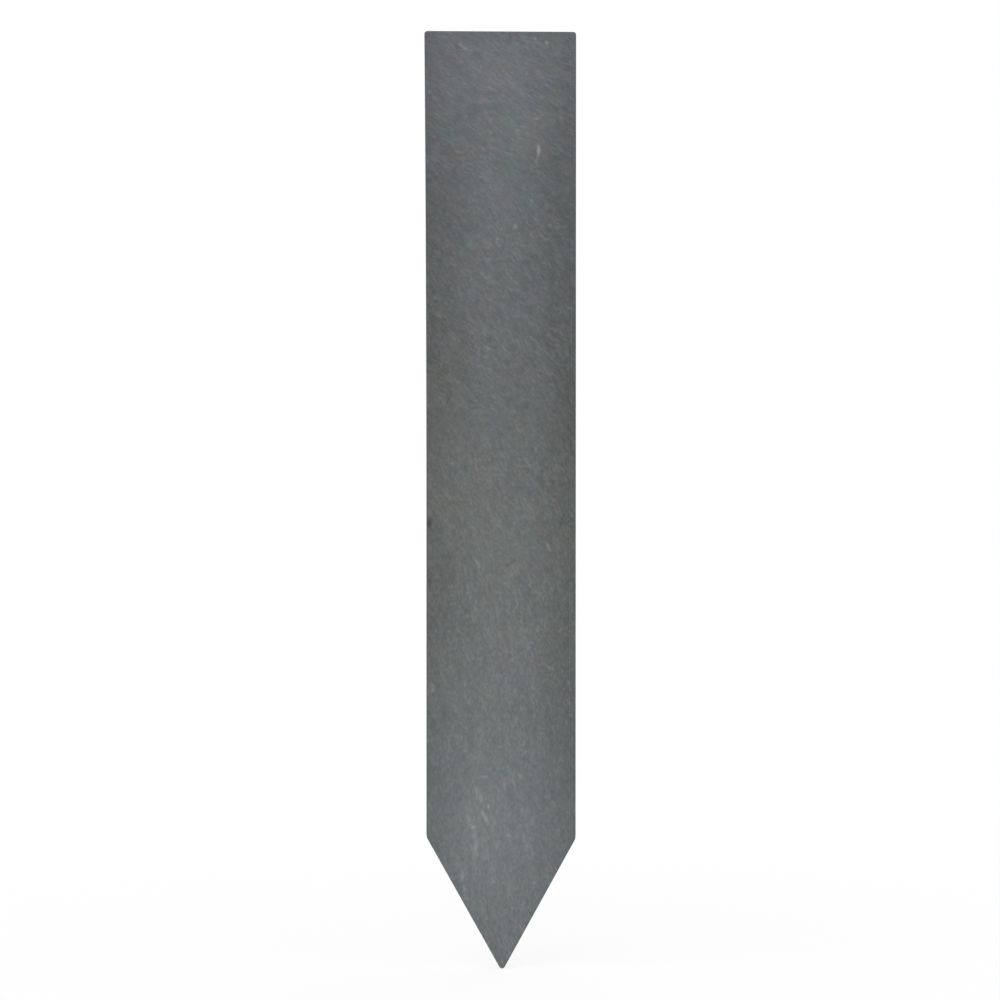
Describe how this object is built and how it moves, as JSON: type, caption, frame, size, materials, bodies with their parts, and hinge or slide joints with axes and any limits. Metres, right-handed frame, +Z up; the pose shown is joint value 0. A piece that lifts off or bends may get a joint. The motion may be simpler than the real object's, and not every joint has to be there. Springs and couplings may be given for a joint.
{
  "type": "plant label stake",
  "caption": "Flat rectangular slate blade with a mitred point, pushed upright into soil as a plant label; plain honed faces to write on.",
  "frame": {"origin": "lowest point of the tip, on the blade's middle line and at mid thickness", "axes": "+Z up the blade from the tip to the top edge, -Y out of the front face, +X to the right as the front face is seen"},
  "size_m": [0.0405, 0.005, 0.2501],
  "materials": {
    "slate": "honed, matt, natural grey slate"
  },
  "bodies": {
    "root": {"slate_stake": "slate"}
  },
  "joints": []
}
